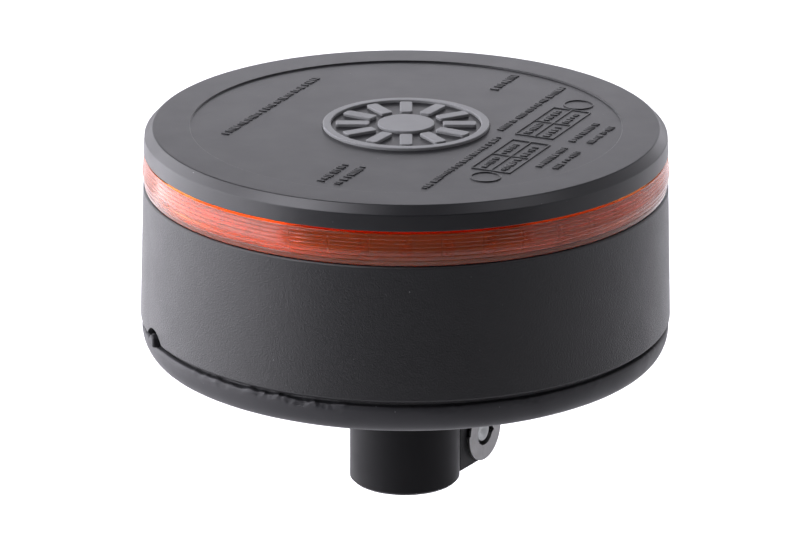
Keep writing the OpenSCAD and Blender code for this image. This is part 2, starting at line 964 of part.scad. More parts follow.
// Two wires from the contact tags up, across and down into the terminal block.
module supply_leads() {
    wire_r = 1;
    z_bend = z_parts + 12;
    z_well = z_parts + terminal_h - 3.5;
    starts = [
        polar(live_tag_angle, 10.5, z_carrier_top + tag_t),
        polar(earth_angle, bore_r - 0.9, z_carrier_top + 1)
    ];
    ends = [for (side = [-1, 1])
        polar(
            terminal_angle + atan2(side * terminal_pitch / 2, terminal_r),
            norm([terminal_r, terminal_pitch / 2]),
            z_well
        )];
    color([0.1, 0.1, 0.1])
        for (i = [0, 1])
            let (d = ends[i] - starts[i])
                translate([starts[i][0], starts[i][1], 0])
                    rotate([0, 0, atan2(d[1], d[0])])
                        arch_wire(norm([d[0], d[1]]), starts[i][2], z_bend, z_well, 3, wire_r);
}

cap();
cap_badge();
cap_gasket();
lens_ring();
lens_gasket();
optic_ring();
led_strip();
leds();
heat_sink();
cap_screws();
led_leads();
housing();
driver_board();
capacitors();
inductor();
driver_chips();
terminal_block();
board_screws();
floor_plate();
floor_seal();
floor_screws();
vent_plug();
base_skirt();
socket();
socket_gasket();
socket_screws();
contact_cup();
contact_carrier();
contact_plunger();
plunger_clip();
contact_spring();
live_tag();
earth_strip();
supply_leads();
clamp_nut();
clamp_washer();
wing_screw();
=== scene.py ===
"""Looks of the low-profile LED warning beacon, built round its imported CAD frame."""
import math
import random

import bmesh
import bpy
from mathutils import Matrix, Vector, noise


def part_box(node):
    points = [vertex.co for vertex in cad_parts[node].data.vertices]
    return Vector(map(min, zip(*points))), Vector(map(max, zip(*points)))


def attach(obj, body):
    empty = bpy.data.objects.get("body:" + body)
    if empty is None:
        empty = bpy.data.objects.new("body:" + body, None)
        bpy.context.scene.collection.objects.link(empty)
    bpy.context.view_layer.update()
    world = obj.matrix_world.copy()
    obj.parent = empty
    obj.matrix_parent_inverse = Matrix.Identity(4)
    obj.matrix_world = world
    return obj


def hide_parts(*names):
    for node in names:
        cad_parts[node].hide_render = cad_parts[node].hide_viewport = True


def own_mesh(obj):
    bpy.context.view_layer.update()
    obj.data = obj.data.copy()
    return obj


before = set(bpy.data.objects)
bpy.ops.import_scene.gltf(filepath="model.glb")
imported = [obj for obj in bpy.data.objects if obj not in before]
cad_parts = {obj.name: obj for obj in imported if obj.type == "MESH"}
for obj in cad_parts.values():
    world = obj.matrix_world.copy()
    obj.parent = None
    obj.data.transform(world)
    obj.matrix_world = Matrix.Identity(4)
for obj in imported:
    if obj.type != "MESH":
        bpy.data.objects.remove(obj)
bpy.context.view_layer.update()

# ---------- Sizes, in millimetres, read from the frame where it holds them ----------

MM = 0.001


def node_box(node):
    """Lowest and highest corner of a CAD node, in millimetres."""
    low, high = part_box(node)
    return low / MM, high / MM


R_BODY = node_box("housing")[1].x
R_CAP = node_box("cap")[1].x
R_RIDGE = node_box("lens_ring")[1].x
R_FLOOR = node_box("floor_plate")[1].x
BADGE_R = node_box("cap_badge")[1].x
Z_HOUSING = node_box("housing")[0].z
Z_LENS = node_box("housing")[1].z
Z_RIM = node_box("cap")[1].z
Z_SPIGOT = node_box("lens_ring")[0].z
Z_SKIRT = node_box("base_skirt")[0].z
Z_FLOOR = node_box("floor_plate")[0].z
Z_BADGE = node_box("cap_badge")[0].z
Z_BADGE_TOP = node_box("cap_badge")[1].z
VENT_PLACE = ((node_box("vent_plug")[0] + node_box("vent_plug")[1]) / 2).to_2d()

# Heights and thicknesses
CAP_H = 7.3
CAP_PLATE_T = 2.65
LENS_H = 10.7
SKIRT_H = 9.1
FLOOR_T = 4
BADGE_POCKET = 0.8
SEAL_T = 0.6
LEDGE_DROP = 6
LEDGE_T = 3
WALL_T = 2.3

# Screw bosses of the cap and screw columns of the housing
PILOT_R = 1.65
BOSS_R = 4.2
BOSS_COUNT = 6
BOSS_GAP = 3
DRUM_INSET = 8.9
DRUM_T = 3.5
COLUMN_R = 4.6
COLUMN_COUNT = 6
COLUMN_PHASE = 30
COLUMN_INSET = 4.9

# Notches, nubs and the vent's duct
NOTCH_ANGLES = (20.5, 200.5)
NOTCH_R = 8.1
NOTCH_DROP = 4.1
NUB_R = 1.9
NUB_RISE = 0.4
NUB_OUT = 0.9
FOOT_GAP = 0.15
VENT_DUCT_R = 3.0

# Clamp
EAR_ANGLE = 58.0
EAR_OUT = 12.5
SCREW_OFFSET = 25.0
SCREW_HEIGHT = 9.4
SCREW_END = 12.9
FEED_GAP = 2.2
WASHER_T = 1.6
HEAD_PLAY = 0.02
THREAD_PITCH = 1.25

# Places worked out from those
Z_FACE = Z_BADGE + BADGE_POCKET
Z_CAP = Z_RIM - CAP_H
Z_CAP_UNDER = Z_FACE - CAP_PLATE_T
Z_SKIRT_TOP = Z_SKIRT + SKIRT_H
Z_FLOOR_TOP = Z_FLOOR + FLOOR_T
Z_HOUSING_LEDGE = Z_LENS - LEDGE_DROP
R_SKIRT = R_BODY - 0.4
R_TOP = R_CAP + 0.15
R_INNER = R_TOP - WALL_T
R_STEP = R_BODY * 0.8075
R_COLUMN = R_INNER - COLUMN_INSET

# Steps round a full turn, and the radius under which a point counts as on the axis
SEGMENTS = 288
AXIS_R = 1e-6

# Metres within which corners are merged, and degrees under which faces count as one
MERGE_DISTANCE = 2e-6
FLAT_ANGLE = 0.4

# ---------- Mesh building ----------


def new_object(name, mesh):
    """Links a mesh as a new object."""
    obj = bpy.data.objects.new(name, mesh)
    bpy.context.scene.collection.objects.link(obj)
    return obj


def mesh_object(name, points, faces):
    """Object from points in millimetres and faces."""
    mesh = bpy.data.meshes.new(name)
    mesh.from_pydata([Vector(p) * MM for p in points], [], faces)
    mesh.update()
    bm = bmesh.new()
    bm.from_mesh(mesh)
    bmesh.ops.recalc_face_normals(bm, faces=bm.faces)
    bm.to_mesh(mesh)
    bm.free()
    return new_object(name, mesh)


def fillet(corners, closed=True):
    """Outline with rounded corners. Each corner is (r, z) or (r, z, radius)."""
    steps = 5
    points = []
    count = len(corners)
    for i, corner in enumerate(corners):
        here = Vector(corner[:2])
        radius = corner[2] if len(corner) > 2 else 0
        end = not closed and i in (0, count - 1)
        if radius == 0 or end:
            points.append(here)
            continue
        back = Vector(corners[i - 1][:2]) - here
        ahead = Vector(corners[(i + 1) % count][:2]) - here
        half = back.angle(ahead) / 2
        reach = min(radius / math.tan(half), back.length * 0.49, ahead.length * 0.49)
        a = here + back.normalized() * reach
        b = here + ahead.normalized() * reach
        for k in range(steps + 1):
            t = k / steps
            points.append(a * (1 - t) ** 2 + here * 2 * t * (1 - t) + b * t**2)
    return points


def revolve_data(outline, closed=True, segments=SEGMENTS, wobble=None):
    """Points and faces of an outline turned round Z. Points on the axis are merged."""
    points, rows = [], []
    for r, z in outline:
        if abs(r) < AXIS_R:
            rows.append([len(points)] * segments)
            points.append((0, 0, z))
            continue
        rows.append([])
        for k in range(segments):
            a = math.radians(360.0 * k / segments)
            rr, zz = (r, z) if wobble is None else wobble(r, z, a)
            rows[-1].append(len(points))
            points.append((rr * math.cos(a), rr * math.sin(a), zz))
    faces = []
    pairs = len(outline) if closed else len(outline) - 1
    for i in range(pairs):
        one, two = rows[i], rows[(i + 1) % len(rows)]
        for k in range(segments):
            n = (k + 1) % segments
            loop = list(dict.fromkeys((one[k], one[n], two[n], two[k])))
            if len(loop) > 2:
                faces.append(loop)
    return points, faces


def revolve(name, outline, **options):
    """Object made by turning an outline round Z."""
    return mesh_object(name, *revolve_data(outline, **options))


def prism_data(outline, low, high, place=None):
    """Points and faces of a flat outline raised from low to high."""
    place = place or Matrix.Identity(4)
    count = len(outline)
    points = [place @ Vector((x, y, low)) for x, y in outline]
    points += [place @ Vector((x, y, high)) for x, y in outline]
    faces = [list(range(count))[::-1], list(range(count, 2 * count))]
    for i in range(count):
        n = (i + 1) % count
        faces.append([i, n, count + n, count + i])
    return points, faces


def joined(name, parts):
    """One object from several sets of points and faces."""
    points, faces = [], []
    for some_points, some_faces in parts:
        first = len(points)
        points += list(some_points)
        faces += [[first + i for i in face] for face in some_faces]
    return mesh_object(name, points, faces)


def circle(radius, count):
    """Points of a circle round the origin."""
    turns = [2 * math.pi * i / count for i in range(count)]
    return [(radius * math.cos(a), radius * math.sin(a)) for a in turns]


def smooth(obj, angle=32, weighted=True):
    """Smooth shading, kept sharp over an angle."""
    for p in obj.data.polygons:
        p.use_smooth = True
    obj.data.set_sharp_from_angle(angle=math.radians(angle))
    if weighted:
        m = obj.modifiers.new("even_normals", "WEIGHTED_NORMAL")
        m.keep_sharp = True
    return obj


def bevelled(obj, width, segments=3, angle=30):
    """Rounds the edges sharper than an angle."""
    m = obj.modifiers.new("edge_rounding", "BEVEL")
    m.width = width * MM
    m.segments = segments
    m.limit_method = "ANGLE"
    m.angle_limit = math.radians(angle)
    m.use_clamp_overlap = True
    m.harden_normals = False
    return smooth(obj)


def refined(name, node, width):
    """Copy of a CAD node with merged faces and rounded edges."""
    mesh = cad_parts[node].data.copy()
    mesh.name = name
    obj = new_object(name, mesh)
    obj.data.materials.clear()
    bm = bmesh.new()
    bm.from_mesh(mesh)
    bmesh.ops.remove_doubles(bm, verts=bm.verts, dist=MERGE_DISTANCE)
    bmesh.ops.dissolve_limit(
        bm, angle_limit=math.radians(FLAT_ANGLE), verts=bm.verts, edges=bm.edges,
        delimit={"NORMAL"},
    )
    bm.to_mesh(mesh)
    bm.free()
    for layer in list(mesh.uv_layers):
        mesh.uv_layers.remove(layer)
    if mesh.has_custom_normals:
        bpy.context.view_layer.objects.active = obj
        obj.select_set(True)
        bpy.ops.mesh.customdata_custom_splitnormals_clear()
        obj.select_set(False)
    return bevelled(obj, width)


def cut_by(obj, cutter):
    """Takes the cutter's solid out of obj."""
    m = obj.modifiers.new("cut", "BOOLEAN")
    m.operation = "DIFFERENCE"
    m.solver = "EXACT"
    m.object = cutter
    bpy.context.view_layer.update()
    evaluated = obj.evaluated_get(bpy.context.evaluated_depsgraph_get())
    mesh = bpy.data.meshes.new_from_object(evaluated)
    obj.modifiers.clear()
    obj.data = mesh
    bpy.data.objects.remove(cutter)
    return obj


def finish_piece(obj, body, slot, material, *nodes):
    """Gives a piece its material and its body, and hides the CAD nodes it stands for; the slot is not
    used.
    """
    obj.data.materials.clear()
    obj.data.materials.append(material)
    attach(obj, body)
    if nodes:
        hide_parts(*nodes)
    return obj


# ---------- Materials ----------


class Surface:
    """A Principled material with the node chains that the pieces share."""

    def __init__(self, name, color, roughness=0.5, metallic=0.0, ior=1.5):
        self.material = bpy.data.materials.new(name)
        self.material.use_nodes = True
        self.tree = self.material.node_tree
        self.bsdf = self.tree.nodes["Principled BSDF"]
        self.color = color
        self.roughness = roughness
        self.set("Base Color", (*color, 1))
        self.set("Roughness", roughness)
        self.set("Metallic", metallic)
        self.set("IOR", ior)
        self.coords = self.tree.nodes.new("ShaderNodeTexCoord").outputs["Object"]
        self.height = None

    def set(self, socket, value):
        """Sets one of the shader's inputs."""
        self.bsdf.inputs[socket].default_value = value

    def node(self, kind, **inputs):
        """Adds a node; inputs are values or sockets by name."""
        made = self.tree.nodes.new(kind)
        for key, value in inputs.items():
            socket = made.inputs[key.replace("_", " ")]
            if isinstance(value, bpy.types.NodeSocket):
                self.tree.links.new(value, socket)
            else:
                socket.default_value = value
        return made

    def stretched(self, x=1.0, y=1.0, z=1.0):
        """Object coordinates scaled differently along each axis."""
        return self.node("ShaderNodeMapping", Vector=self.coords, Scale=(x, y, z)).outputs[0]

    def noise(self, size_mm, detail=2.0, rough=0.5, coords=None):
        """Noise with features of about that size."""
        return self.node(
            "ShaderNodeTexNoise", Vector=coords or self.coords, Scale=1 / (size_mm * MM),
            Detail=detail, Roughness=rough,
        ).outputs["Fac"]

    def ramp(self, value, low, high, to_low=0.0, to_high=1.0):
        """Value mapped from one range to another, clamped."""
        made = self.node("ShaderNodeMapRange", Value=value)
        made.inputs["From Min"].default_value = low
        made.inputs["From Max"].default_value = high
        made.inputs["To Min"].default_value = to_low
        made.inputs["To Max"].default_value = to_high
        return made.outputs[0]

    def bump(self, height, depth_mm):
        """Adds relief of that depth on top of what is there."""
        made = self.node("ShaderNodeBump", Height=height, Distance=depth_mm * MM, Strength=1.0)
        if self.height is not None:
            self.tree.links.new(self.height, made.inputs["Normal"])
        self.height = made.outputs[0]
        self.tree.links.new(self.height, self.bsdf.inputs["Normal"])
        return self

    def tint(self, factor, other):
        """Blends the base colour towards another where factor is high."""
        made = self.node("ShaderNodeMix")
        made.data_type = "RGBA"
        before = self.bsdf.inputs["Base Color"]
        if before.is_linked:
            self.tree.links.new(before.links[0].from_socket, made.inputs[6])
        else:
            made.inputs[6].default_value = (*self.color, 1)
        made.inputs[7].default_value = (*other, 1)
        self.tree.links.new(factor, made.inputs[0])
        self.tree.links.new(made.outputs[2], before)
        return self

    def vary_roughness(self, value, spread):
        """Roughness that follows a value by plus or minus spread."""
        out = self.ramp(value, 0.3, 0.7, self.roughness - spread, self.roughness + spread)
        self.tree.links.new(out, self.bsdf.inputs["Roughness"])
        return self

    def specks(self, size_mm, threshold, color):
        """Sparse specks of dust."""
        dots = self.noise(size_mm, detail=1.0)
        return self.tint(self.ramp(dots, threshold, threshold + 0.03, 0.0, 0.7), color)


# Sizes in millimetres of the soft mottling, of the patches of uneven gloss and of dust
MOTTLE_MM = 30
GLOSS_MM = 9
DUST_MM = 0.8
DUST_COLOR = (0.3, 0.3, 0.31)


def moulded(name, color, roughness, grain_mm, depth_mm, spread=0.05, dust=None, sheen=0.5):
    """Moulded plastic or rubber: fine grain, soft mottling, uneven gloss and, if asked, dust."""
    s = Surface(name, color, roughness)
    s.set("Specular IOR Level", sheen)
    paler = [c * 1.35 + 0.002 for c in color]
    s.tint(s.ramp(s.noise(MOTTLE_MM, 3), 0.3, 0.7, 0.0, 0.35), paler)
    s.vary_roughness(s.noise(GLOSS_MM, 3), spread)
    s.bump(s.noise(grain_mm * 5, 3), depth_mm * 0.15)
    s.bump(s.noise(grain_mm, 3, 0.6), depth_mm)
    if dust:
        s.specks(DUST_MM, dust, DUST_COLOR)
    return s.material


def metal(name, color, roughness, brush=(1, 1, 1), scratch_depth=0.004):
    """Metal with fine scratches, drawn out along the axis where brush is under 1."""
    s = Surface(name, color, roughness, metallic=1.0)
    s.tint(s.ramp(s.noise(3.5, 4), 0.35, 0.7, 0.0, 0.5), [c * 0.72 for c in color])
    lines = s.noise(0.35, 2, coords=s.stretched(*brush))
    s.vary_roughness(lines, 0.08)
    s.bump(lines, scratch_depth)
    s.bump(s.noise(1.2, 4), scratch_depth * 2)
    return s.material


def clear(name, color, roughness, ior, depth_mm, size_mm, clearness=1.0):
    """Clear moulded plastic with slight waviness, a little cloudy if clearness is under 1."""
    s = Surface(name, color, roughness, ior=ior)
    s.set("Transmission Weight", clearness)
    s.vary_roughness(s.noise(4, 3), roughness * 0.5)
    s.bump(s.noise(size_mm, 2), depth_mm)
    return s.material


def coated(name, color, roughness, size_mm=2.0, depth_mm=0.01, other=None):
    """Smooth coated or enamelled surface."""
    s = Surface(name, color, roughness)
    s.tint(s.ramp(s.noise(size_mm * 3, 3), 0.35, 0.7), other or [c * 0.8 for c in color])
    s.vary_roughness(s.noise(size_mm, 3), 0.06)
    s.bump(s.noise(size_mm, 3), depth_mm)
    return s.material


CAP_PLASTIC = moulded(
    "cap_plastic", (0.009, 0.009, 0.0102), 0.36, 0.5, 0.008, 0.015, dust=0.81, sheen=0.4
)
MARK_PLASTIC = moulded("mark_plastic", (0.006, 0.006, 0.007), 0.4, 0.5, 0.004)
BADGE_PLASTIC = moulded("badge_plastic", (0.17, 0.172, 0.175), 0.5, 0.4, 0.006)
HOUSING_PLASTIC = moulded(
    "housing_plastic", (0.004, 0.004, 0.0047), 0.42, 0.5, 0.14, 0.02, dust=0.82, sheen=0.42
)
SKIRT_RUBBER = moulded(
    "skirt_rubber", (0.014, 0.014, 0.016), 0.5, 0.8, 0.02, dust=0.81, sheen=0.32
)
MATERIALS = {
    "SOCKET_PLASTIC": moulded(
        "socket_plastic", (0.006, 0.006, 0.0066), 0.5, 0.5, 0.008, dust=0.83, sheen=0.12
    ),
    "FLOOR_PLASTIC": moulded("floor_plastic", (0.02, 0.02, 0.022), 0.5, 0.6, 0.02),
    "SEAL_RUBBER": moulded("seal_rubber", (0.008, 0.008, 0.008), 0.7, 0.4, 0.01),
    "INSULATOR": moulded("insulator_plastic", (0.55, 0.47, 0.3), 0.45, 0.5, 0.01),
    "VENT_PLASTIC": moulded("vent_plastic", (0.2, 0.2, 0.21), 0.5, 0.5, 0.01),
    "CHIP_EPOXY": moulded("chip_epoxy", (0.012, 0.012, 0.014), 0.55, 0.2, 0.01),
    "TERMINAL": moulded("terminal_plastic", (0.02, 0.22, 0.06), 0.4, 0.4, 0.005),
    "ZINC": metal("zinc_clamp_metal", (0.22, 0.217, 0.215), 0.4, (1, 1, 0.2)),
    "SCREW_ZINC": metal("zinc_screw_metal", (0.6, 0.6, 0.62), 0.3, (1, 1, 0.2)),
    "SHANK_ZINC": metal("zinc_shank_metal", (0.3, 0.31, 0.305), 0.35),
    "SPRING_STEEL": metal("spring_metal", (0.45, 0.45, 0.47), 0.3),
    "ALUMINIUM": metal("cast_aluminium", (0.72, 0.73, 0.75), 0.45, (1, 1, 1), 0.01),
    "BRASS": metal("contact_brass", (0.72, 0.5, 0.2), 0.28, (1, 1, 0.3)),
    "COPPER": metal("winding_copper", (0.62, 0.25, 0.1), 0.3, (1, 1, 0.4)),
    "GREEN_BOARD": coated("green_board", (0.01, 0.12, 0.04), 0.3, 1.5, 0.02),
    "WHITE_BOARD": coated("white_board", (0.75, 0.74, 0.7), 0.35, 1.5, 0.01),
    "SLEEVE": coated("capacitor_film", (0.02, 0.025, 0.06), 0.25),
    "RED_WIRE": coated("red_insulation", (0.45, 0.02, 0.02), 0.35),
    "BLACK_WIRE": coated("black_insulation", (0.012, 0.012, 0.012), 0.35),
    "LED_BODY": coated("led_body", (0.8, 0.62, 0.25), 0.3, 0.8, 0.004, (0.9, 0.5, 0.1)),
}
AMBER = clear("amber_plastic", (1.0, 0.24, 0.05), 0.15, 1.49, 0.01, 6.0, clearness=0.93)
CLEAR = clear("clear_plastic", (0.95, 0.97, 1.0), 0.04, 1.49, 0.01, 5.0)


# ---------- Cap ----------


def tube(r_in, r_out, low, high, centre):
    """Points and faces of an upright tube with softened outer ends."""
    chamfer = 0.3
    outline = [
        (r_in, low), (r_out - chamfer, low), (r_out, low + chamfer),
        (r_out, high - chamfer), (r_out - chamfer, high), (r_in, high),
    ]
    points, faces = revolve_data(outline, segments=40)
    return [(x + centre[0], y + centre[1], z) for x, y, z in points], faces


def ring_of(count, radius, phase=0.0):
    """Centres at equal steps round Z."""
    for i in range(count):
        a = math.radians(phase + 360 * i / count)
        yield radius * math.cos(a), radius * math.sin(a)


def spokes(count, radius):
    """Frames at equal steps round Z, with X pointing outwards."""
    for i in range(count):
        turned = Matrix.Rotation(math.radians(360 / count * i), 4, "Z")
        yield turned @ Matrix.Translation((radius, 0, 0))


def build_cap():
    """Cap shell with rounded rims, badge pocket and screw bosses."""
    wall_in = R_INNER - 0.8
    floor_of_pocket = Z_FACE - BADGE_POCKET
    outline = fillet(
        [
            (0, floor_of_pocket), (BADGE_R + 0.1, floor_of_pocket), (BADGE_R + 0.1, Z_FACE, 0.12),
            (R_STEP, Z_FACE, 0.2), (R_STEP, Z_RIM, 0.2), (R_CAP - 2.75, Z_RIM, 0.7),
            (R_CAP - 0.35, Z_CAP + 0.66 * CAP_H, 0.7), (R_CAP, Z_CAP, 0.3), (wall_in, Z_CAP, 0.2),
            (wall_in, Z_CAP_UNDER, 0.3), (0, Z_CAP_UNDER),
        ],
        closed=False,
    )
    parts = [revolve_data(outline, closed=False)]
    r_boss = R_INNER - DRUM_INSET - DRUM_T - BOSS_R - BOSS_GAP
    for centre in ring_of(BOSS_COUNT, r_boss):
        parts.append(tube(PILOT_R, BOSS_R, Z_LENS + 0.05, Z_CAP_UNDER + 0.1, centre))
    shell = smooth(joined("cap_shell", parts))
    finish_piece(shell, "beacon", "cap_black", CAP_PLASTIC, "cap")


# Direction of the rows of marks, how deep their feet are sunk and how tall they are
MARK_ANGLE = 65
MARK_SINK = 0.05
MARK_H = 0.3
FRAME_W = 12.6
CELL_U = 7.2
CELL_V = 3.1
MARK_ROWS = (
    # along the rows, across them, length, height of the ticks
    (1, 45, 64, 2.6), (-49.5, 0, 18, 2.6), (-50, -5.5, 18, 2.6), (-24.6, -29.8, 54, 2.2),
    (32, -27.2, 48, 2.2), (52.5, -9, 17, 2.8), (-9, -51.6, 20, 2.2), (-9.4, -56.6, 18, 2.2),
    (17, -50.8, 20, 2.2), (17, -56.2, 18, 2.2),
)
MARK_FRAMES = ((-13.6, -40.4, 30), (21, -38.8, 29))
MARK_RINGS = ((-34.4, -41.6), (41, -38.4))


def mark_place(u, v):
    """Places a mark at u along the rows and v across them, its foot just under the cap's face."""
    turned = Matrix.Rotation(math.radians(MARK_ANGLE), 4, "Z")
    return turned @ Matrix.Translation((u, v, Z_FACE - MARK_SINK))


def dash_row(u, v, length, width=2.2):
    """Row of raised ticks of uneven width and spacing."""
    x = -length / 2
    while x < length / 2 - 0.5:
        step = RANDOM.choice((0.55, 0.55, 0.8, 1.3))
        high = width * RANDOM.choice((1.0, 1.0, 0.75))
        yield prism_data(
            [(x + step / 2 + px, py) for px, py in rounded_box(step, high, 0.2, ends=2)],
            0, MARK_H, mark_place(u, v),
        )
        x += step + RANDOM.choice((0.55, 0.7, 0.7, 1.6))


def band(outer, inner, height, place):
    """Points and faces of a raised band between two outlines of equal count."""
    n = len(outer)
    points = [place @ Vector((x, y, z)) for z in (0, height) for loop in (outer, inner) for x, y in loop]
    faces = []
    for i in range(n):
        k = (i + 1) % n
        faces += [[2 * n + i, 2 * n + k, 3 * n + k, 3 * n + i], [i, k, 2 * n + k, 2 * n + i],
                  [n + k, n + i, 3 * n + i, 3 * n + k], [k, i, n + i, n + k]]
    return points, faces


def rounded_box(length, width, radius, ends=4):
    """Outline of a rectangle with round corners, centred."""
    points = []
    for cx, cy, start in ((1, -1, -90), (1, 1, 0), (-1, 1, 90), (-1, -1, 180)):
        for i in range(ends + 1):
            a = math.radians(start + 90 * i / ends)
            points.append((cx * (length / 2 - radius) + radius * math.cos(a),
                           cy * (width / 2 - radius) + radius * math.sin(a)))
    return points


def build_marks():
    """Raised blank marks on the cap's face: rows of ticks, frames of four cells, and rings."""
    parts = []
    for u, v, length, width in MARK_ROWS:
        parts += list(dash_row(u, v, length, width))
    for u, v, length in MARK_FRAMES:
        place = mark_place(u, v)
        outer = rounded_box(length, FRAME_W, 0.5)
        inner = rounded_box(length - 0.9, FRAME_W - 0.9, 0.3)
        parts.append(band(outer, inner, MARK_H, place))
        parts.append(prism_data(rounded_box(length - 0.7, 0.45, 0.1, 1), 0, MARK_H - 0.01, place))
        parts.append(prism_data(rounded_box(0.45, FRAME_W - 0.7, 0.1, 1), 0, MARK_H - 0.02, place))
        for k in (-1, 1):
            for n in (-1, 1):
                parts += list(dash_row(u + CELL_U * k, v + CELL_V * n, 11))
    for u, v in MARK_RINGS:
        parts.append(band(circle(4.6, 64), circle(4.1, 64), MARK_H, mark_place(u, v)))
    marks = joined("cap_marks", parts)
    bevelled(marks, 0.06, 2)
    finish_piece(marks, "beacon", "cap_black", MARK_PLASTIC, "cap")


RAY_COUNT = 12


def build_badge():
    """Flush dark disc with a lighter raised rim, hub and rays, all with softened edges."""
    low, foot, top = Z_BADGE, Z_FACE - 0.1, Z_BADGE_TOP
    disc = fillet([(0, low), (BADGE_R, low, 0.1), (BADGE_R, Z_FACE, 0.1), (0, Z_FACE)], closed=False)
    disc = smooth(revolve("cap_badge_disc", disc, closed=False))
    finish_piece(disc, "beacon", "cap_black", CAP_PLASTIC, "cap_badge")
    rim_in, rim_out, hub_r = BADGE_R * 0.9, BADGE_R - 0.05, BADGE_R * 0.34
    rim = fillet([(rim_in, foot), (rim_out, foot), (rim_out, top, 0.28), (rim_in, top, 0.28)])
    hub = fillet([(0, foot), (hub_r, foot), (hub_r, top, 0.28), (0, top)], closed=False)
    parts = [revolve_data(rim), revolve_data(hub, closed=False)]
    inner, outer, width = BADGE_R * 0.44, BADGE_R * 0.84, BADGE_R * 0.15
    ray = rounded_box(outer - inner, width, 0.8)
    for place in spokes(RAY_COUNT, (inner + outer) / 2):
        parts.append(prism_data(ray, foot, top, place))
    badge = joined("cap_badge_face", parts)
    bevelled(badge, 0.18, 3, angle=50)
    finish_piece(badge, "beacon", "badge_grey", BADGE_PLASTIC, "cap_badge")


# ---------- Lens ----------


GROOVE_DEPTH = 0.13


def ridged(start, end, count):
    """Points of a shallow ridged wall between two outline points, with rounding radii."""
    points = []
    for i in range(count):
        for part, inset in ((0.12, 0.0), (0.72, 0.0), (0.9, GROOVE_DEPTH)):
            t = (i + part) / count
            points.append((start[0] + (end[0] - start[0]) * t - inset,
                           start[1] + (end[1] - start[1]) * t, 0.05))
    return points


def build_lens():
    """Amber ring: softly ridged outside, fine prisms inside."""
    spigot_in, spigot_out = R_INNER - 2.3, R_INNER - 0.4
    low, high = Z_LENS + 0.3, Z_CAP - 0.7
    upper_out = R_INNER - 0.95
    middle = Z_LENS + 0.45 * LENS_H
    z_top = Z_CAP_UNDER - SEAL_T
    outer = [
        (spigot_in, Z_SPIGOT), (spigot_out, Z_SPIGOT), (spigot_out, low, 0.15),
        (R_TOP - 0.35, low, 0.35), *ridged((R_TOP - 0.3, low + 0.5), (R_RIDGE, middle), 3),
        *ridged((R_RIDGE, middle), (R_CAP - 0.2, high - 0.6), 4), (R_CAP - 0.3, high, 0.4),
        (upper_out, high, 0.15), (upper_out, z_top, 0.2), (spigot_in, z_top),
    ]
    prisms, margin = 9, 0.8
    pitch = (high - low - 2 * margin) / prisms
    inner = []
    for i in reversed(range(prisms)):
        z = low + margin + i * pitch
        inner += [(spigot_in + 0.35, z + pitch * 0.96), (spigot_in + 1.0, z + pitch * 0.04)]
    lens = smooth(revolve("amber_lens", fillet(outer) + inner, segments=360), 18)
    finish_piece(lens, "beacon", "amber_lens", AMBER, "lens_ring")


# ---------- Housing ----------


def arch(radius, rise, below):
    """Outline of an arch on the housing's lower edge: X down, Y along the edge."""
    steps = 24
    points = [(below, -radius)]
    for i in range(steps + 1):
        t = math.radians(-90 + 180 * i / steps)
        points.append((-rise - radius * math.cos(t), radius * math.sin(t)))
    return points + [(below, radius)]


def bow():
    """Outline of a notch in the same frame: a round stretch centred below the edge."""
    return [(NOTCH_DROP - NOTCH_R * math.cos(math.radians(t)), NOTCH_R * math.sin(math.radians(t)))
            for t in range(-78, 79, 4)]


def facing_out(angle, radius):
    """Frame on the housing's lower edge whose Z points outwards and X down."""
    return (
        Matrix.Rotation(math.radians(angle), 4, "Z")
        @ Matrix.Translation((radius, 0, Z_HOUSING))
        @ Matrix.Rotation(math.pi / 2, 4, "Y")
    )


def build_housing():
    """Housing wall with softened edges, notches in its lower edge, ledge and screw columns."""
    z_ledge_top = Z_HOUSING_LEDGE + LEDGE_T
    ledge_in = R_INNER - 6.4
    outline = fillet([
        (R_INNER, Z_HOUSING, 0.2), (R_BODY - 0.9, Z_HOUSING, 0.3), (R_BODY, Z_HOUSING + 0.9, 0.7),
        (R_TOP + 0.05, Z_LENS - 0.4, 0.3), (R_TOP - 0.4, Z_LENS, 0.25), (R_INNER - 0.3, Z_LENS, 0.15),
        (R_INNER - 0.3, z_ledge_top), (ledge_in, z_ledge_top, 0.3),
        (ledge_in, Z_HOUSING_LEDGE, 0.3), (R_INNER, Z_HOUSING_LEDGE - LEDGE_T, 0.8),
    ])
    wall = revolve("housing_wall", outline)
    cutters = []
    for a in NOTCH_ANGLES:
        cutters.append(prism_data(bow(), 0, 4, facing_out(a, R_FLOOR - 1)))
    cut_by(wall, joined("notches", cutters))
    bevelled(wall, 0.22, 3, angle=40)
    finish_piece(wall, "beacon", "housing_black", HOUSING_PLASTIC, "housing")
    columns = [tube(PILOT_R, COLUMN_R, Z_FLOOR_TOP + 3, Z_HOUSING_LEDGE + 1, c)
               for c in ring_of(COLUMN_COUNT, R_COLUMN, COLUMN_PHASE)]
    columns = smooth(joined("housing_columns", columns))
    finish_piece(columns, "beacon", "housing_black", HOUSING_PLASTIC, "housing")


# ---------- Rubber foot ----------


# Middle and half width, in degrees, of the stretch where the lip's flash is torn
TORN_ANGLE = 238
TORN_SPAN = 20
RIB_COUNT = 12
RIB_W = 2.5


